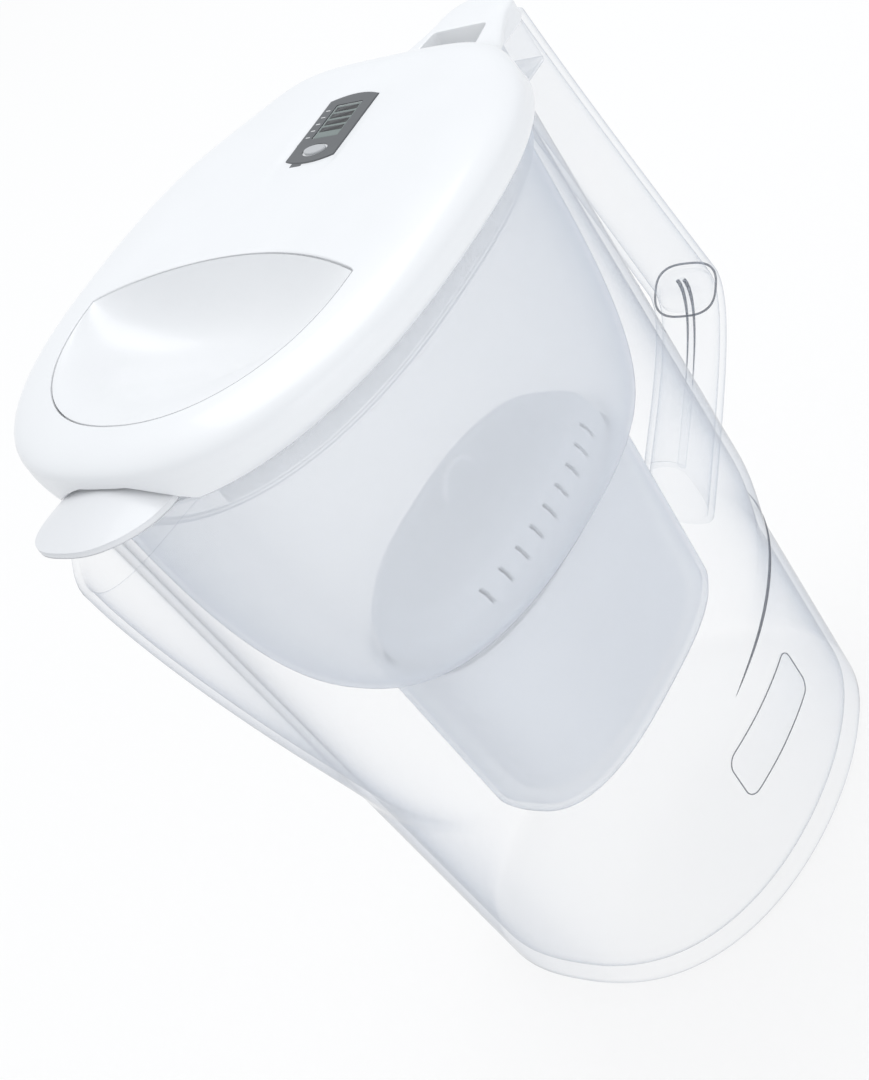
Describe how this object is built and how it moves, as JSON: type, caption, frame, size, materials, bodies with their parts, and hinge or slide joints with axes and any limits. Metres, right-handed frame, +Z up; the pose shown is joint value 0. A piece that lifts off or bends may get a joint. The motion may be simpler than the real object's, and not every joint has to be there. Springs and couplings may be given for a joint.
{
  "type": "water filter pitcher",
  "caption": "Clear oval water filter pitcher with a spout, a hollow handle, a lift-out funnel and cartridge, and a white domed lid with a flip flap.",
  "frame": {"origin": "on the resting plane of the base, in the mirror plane, below the middle of the filter cartridge", "axes": "+Z up; the spout points to -X and the handle to +X; +Y is the pitcher's left side seen from the handle, and the part is mirror-symmetric about Y = 0"},
  "size_m": [0.2695, 0.155, 0.2759],
  "materials": {
    "clear_plastic": "clear and glossy",
    "frosted_plastic": "translucent satin",
    "white_plastic": "satin gloss",
    "pin_steel": "drawn",
    "dark_plastic": "satin",
    "display_glass": "clear over a grey-green display",
    "board": "lacquered",
    "cell_steel": "brushed",
    "contact_metal": "stamped",
    "button_plastic": "satin",
    "cartridge_plastic": "satin",
    "mesh": "woven",
    "seal_rubber": "soft",
    "media": "granular"
  },
  "bodies": {
    "jug": {"jug_body": "clear_plastic", "handle_grip": "clear_plastic", "handle_floor": "clear_plastic", "handle_strut": "clear_plastic", "handle_bridge": "clear_plastic"},
    "funnel": {"funnel_hopper": "frosted_plastic", "cartridge_chamber": "frosted_plastic"},
    "cartridge": {"cartridge_housing": "cartridge_plastic", "cartridge_cap": "cartridge_plastic", "cartridge_inlet_mesh": "mesh", "cartridge_outlet_screen": "mesh", "cartridge_seal": "seal_rubber", "cartridge_media": "media", "cartridge_pull_ring": "cartridge_plastic"},
    "lid": {"lid_shell": "white_plastic", "lid_skirt": "white_plastic", "refill_flap_pin": "pin_steel", "refill_flap_spring": "pin_steel", "spout_flap_pin": "pin_steel", "memo_housing": "dark_plastic", "memo_faceplate": "dark_plastic", "memo_display": "display_glass", "memo_board": "board", "memo_battery": "cell_steel", "memo_contact_dome": "contact_metal"},
    "refill_flap": {"refill_flap": "white_plastic"},
    "spout_flap": {"spout_flap": "white_plastic"},
    "memo_button": {"memo_button": "button_plastic"}
  },
  "joints": [
    {"name": "funnel_lift", "type": "slide", "parent": "jug", "child": "funnel", "axis": [0, 0, 1], "range_m": [0, 0.2]},
    {"name": "cartridge_lift", "type": "slide", "parent": "funnel", "child": "cartridge", "axis": [0, 0, 1], "range_m": [0, 0.06]},
    {"name": "lid_lift", "type": "slide", "parent": "funnel", "child": "lid", "axis": [0, 0, 1], "range_m": [0, 0.06]},
    {"name": "refill_flap_turn", "type": "hinge", "parent": "lid", "child": "refill_flap", "pos_m": [-0.076, 0, 0.2629], "axis": [0, 1, 0], "range_deg": [0, 40], "stiffness_Nm_per_rad": 0.02, "springref_deg": -45.84},
    {"name": "spout_flap_turn", "type": "hinge", "parent": "lid", "child": "spout_flap", "pos_m": [-0.094, 0, 0.2591], "axis": [0, 1, 0], "range_deg": [-16, 3]},
    {"name": "memo_press", "type": "slide", "parent": "lid", "child": "memo_button", "axis": [0, 0, -1], "range_m": [0, 0.0006], "stiffness_N_per_m": 800, "springref_m": -0.0005}
  ]
}
